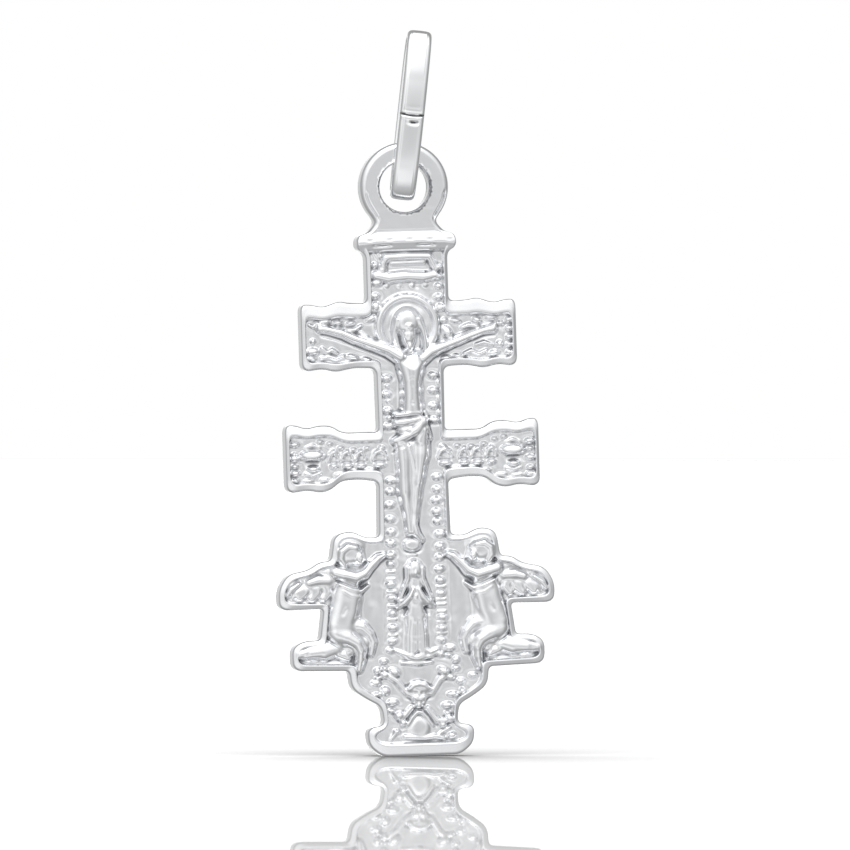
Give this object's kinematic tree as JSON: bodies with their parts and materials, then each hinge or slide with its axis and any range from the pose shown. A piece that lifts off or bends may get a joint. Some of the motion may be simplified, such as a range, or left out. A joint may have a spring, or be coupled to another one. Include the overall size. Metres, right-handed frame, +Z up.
{
  "type": "caravaca cross pendant",
  "caption": "Cast silver cross pendant with two pairs of arms, held up by two kneeling angels, raised relief on its front, hung by its round eye on a flat strap bail.",
  "frame": {"origin": "the inside of the top of the bail, in the middle of the strap, where a chain carries the pendant", "axes": "+Z up, along the cross towards the bail; +X to the right as seen from the front; the relief looks along -Y and the flat back along +Y"},
  "size_m": [0.0136, 0.003, 0.0355],
  "materials": {
    "cast_silver": "cast relief, tumble polished, with a polished rim",
    "polished_silver": "rolled strap, polished"
  },
  "bodies": {
    "bail": {"bail": "polished_silver"},
    "cross": {"cross": "cast_silver"}
  },
  "joints": [
    {"name": "cross_swing", "type": "hinge", "parent": "bail", "child": "cross", "pos_m": [-0.00101, 0, -0.00719], "axis": [0, 1, 0], "range_deg": [-124, 138]}
  ]
}
